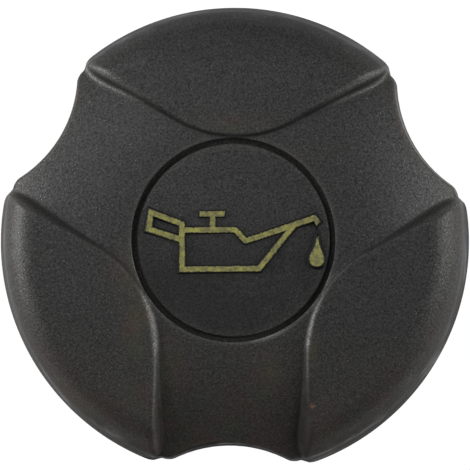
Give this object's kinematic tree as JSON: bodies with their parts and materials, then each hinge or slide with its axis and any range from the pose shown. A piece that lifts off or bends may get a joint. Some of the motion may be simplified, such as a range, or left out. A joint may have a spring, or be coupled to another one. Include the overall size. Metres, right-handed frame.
{
  "type": "oil filler cap",
  "caption": "Hand-turned lobed oil filler cap with an oil can badge, a bayonet stem and a sealing gasket.",
  "frame": {"origin": "on the axis, in the plane where the gasket meets the rim of the filler neck", "axes": "+Z out of the engine along the cap's axis, +Y along the middle of one raised pad"},
  "size_m": [0.068, 0.0659, 0.0335],
  "materials": {
    "grip_nylon": "glass filled nylon, spark eroded grain, soiled",
    "badge_nylon": "fine grained moulded nylon",
    "yellow_foil": "hot stamped foil, worn",
    "stem_nylon": "smooth moulded nylon",
    "gasket_rubber": "oil resistant rubber",
    "screw_steel": "zinc plated"
  },
  "bodies": {
    "root": {"grip_shell": "grip_nylon", "badge_disc": "badge_nylon", "symbol_foil": "yellow_foil", "bayonet_stem": "stem_nylon", "sealing_gasket": "gasket_rubber", "retaining_screws": "screw_steel"}
  },
  "joints": []
}
